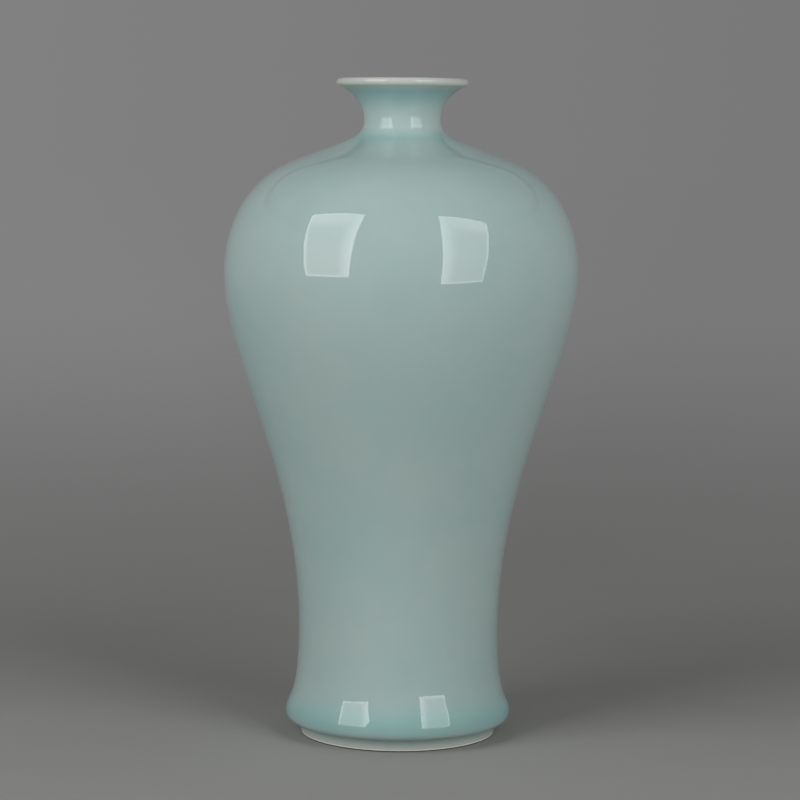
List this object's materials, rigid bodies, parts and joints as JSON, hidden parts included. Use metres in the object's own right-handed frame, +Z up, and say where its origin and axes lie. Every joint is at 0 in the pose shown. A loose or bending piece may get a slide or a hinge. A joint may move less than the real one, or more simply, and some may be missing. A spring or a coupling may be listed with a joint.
{
  "type": "vase",
  "caption": "Tall thrown porcelain vase with a high round shoulder, narrow waist, small turned-out mouth and low foot ring, under a pale blue-green glaze.",
  "frame": {"origin": "centre of the circle on which the foot ring rests, at the level of the surface it stands on", "axes": "+Z up along the axis of the vase; the vase is round, so X and Y are alike and the front is towards -Y"},
  "size_m": [0.1612, 0.1612, 0.3],
  "materials": {
    "bare_porcelain": "unglazed fired porcelain, dry and slightly gritty",
    "porcelain_body": "fired porcelain under glaze",
    "slip": "fired joining slip",
    "celadon_glaze": "pale blue-green glaze, smooth and glossy, thin and whitish on the rim",
    "inner_glaze": "thin glossy glaze over throwing rings"
  },
  "bodies": {
    "root": {"foot_ring": "bare_porcelain", "base_plate": "porcelain_body", "lower_body": "porcelain_body", "upper_body": "porcelain_body", "neck": "porcelain_body", "mouth_rim": "porcelain_body", "foot_slip_joint": "slip", "body_slip_joint": "slip", "neck_slip_joint": "slip", "mouth_slip_joint": "slip", "outer_glaze": "celadon_glaze", "inner_glaze": "inner_glaze", "base_glaze": "celadon_glaze"}
  },
  "joints": []
}
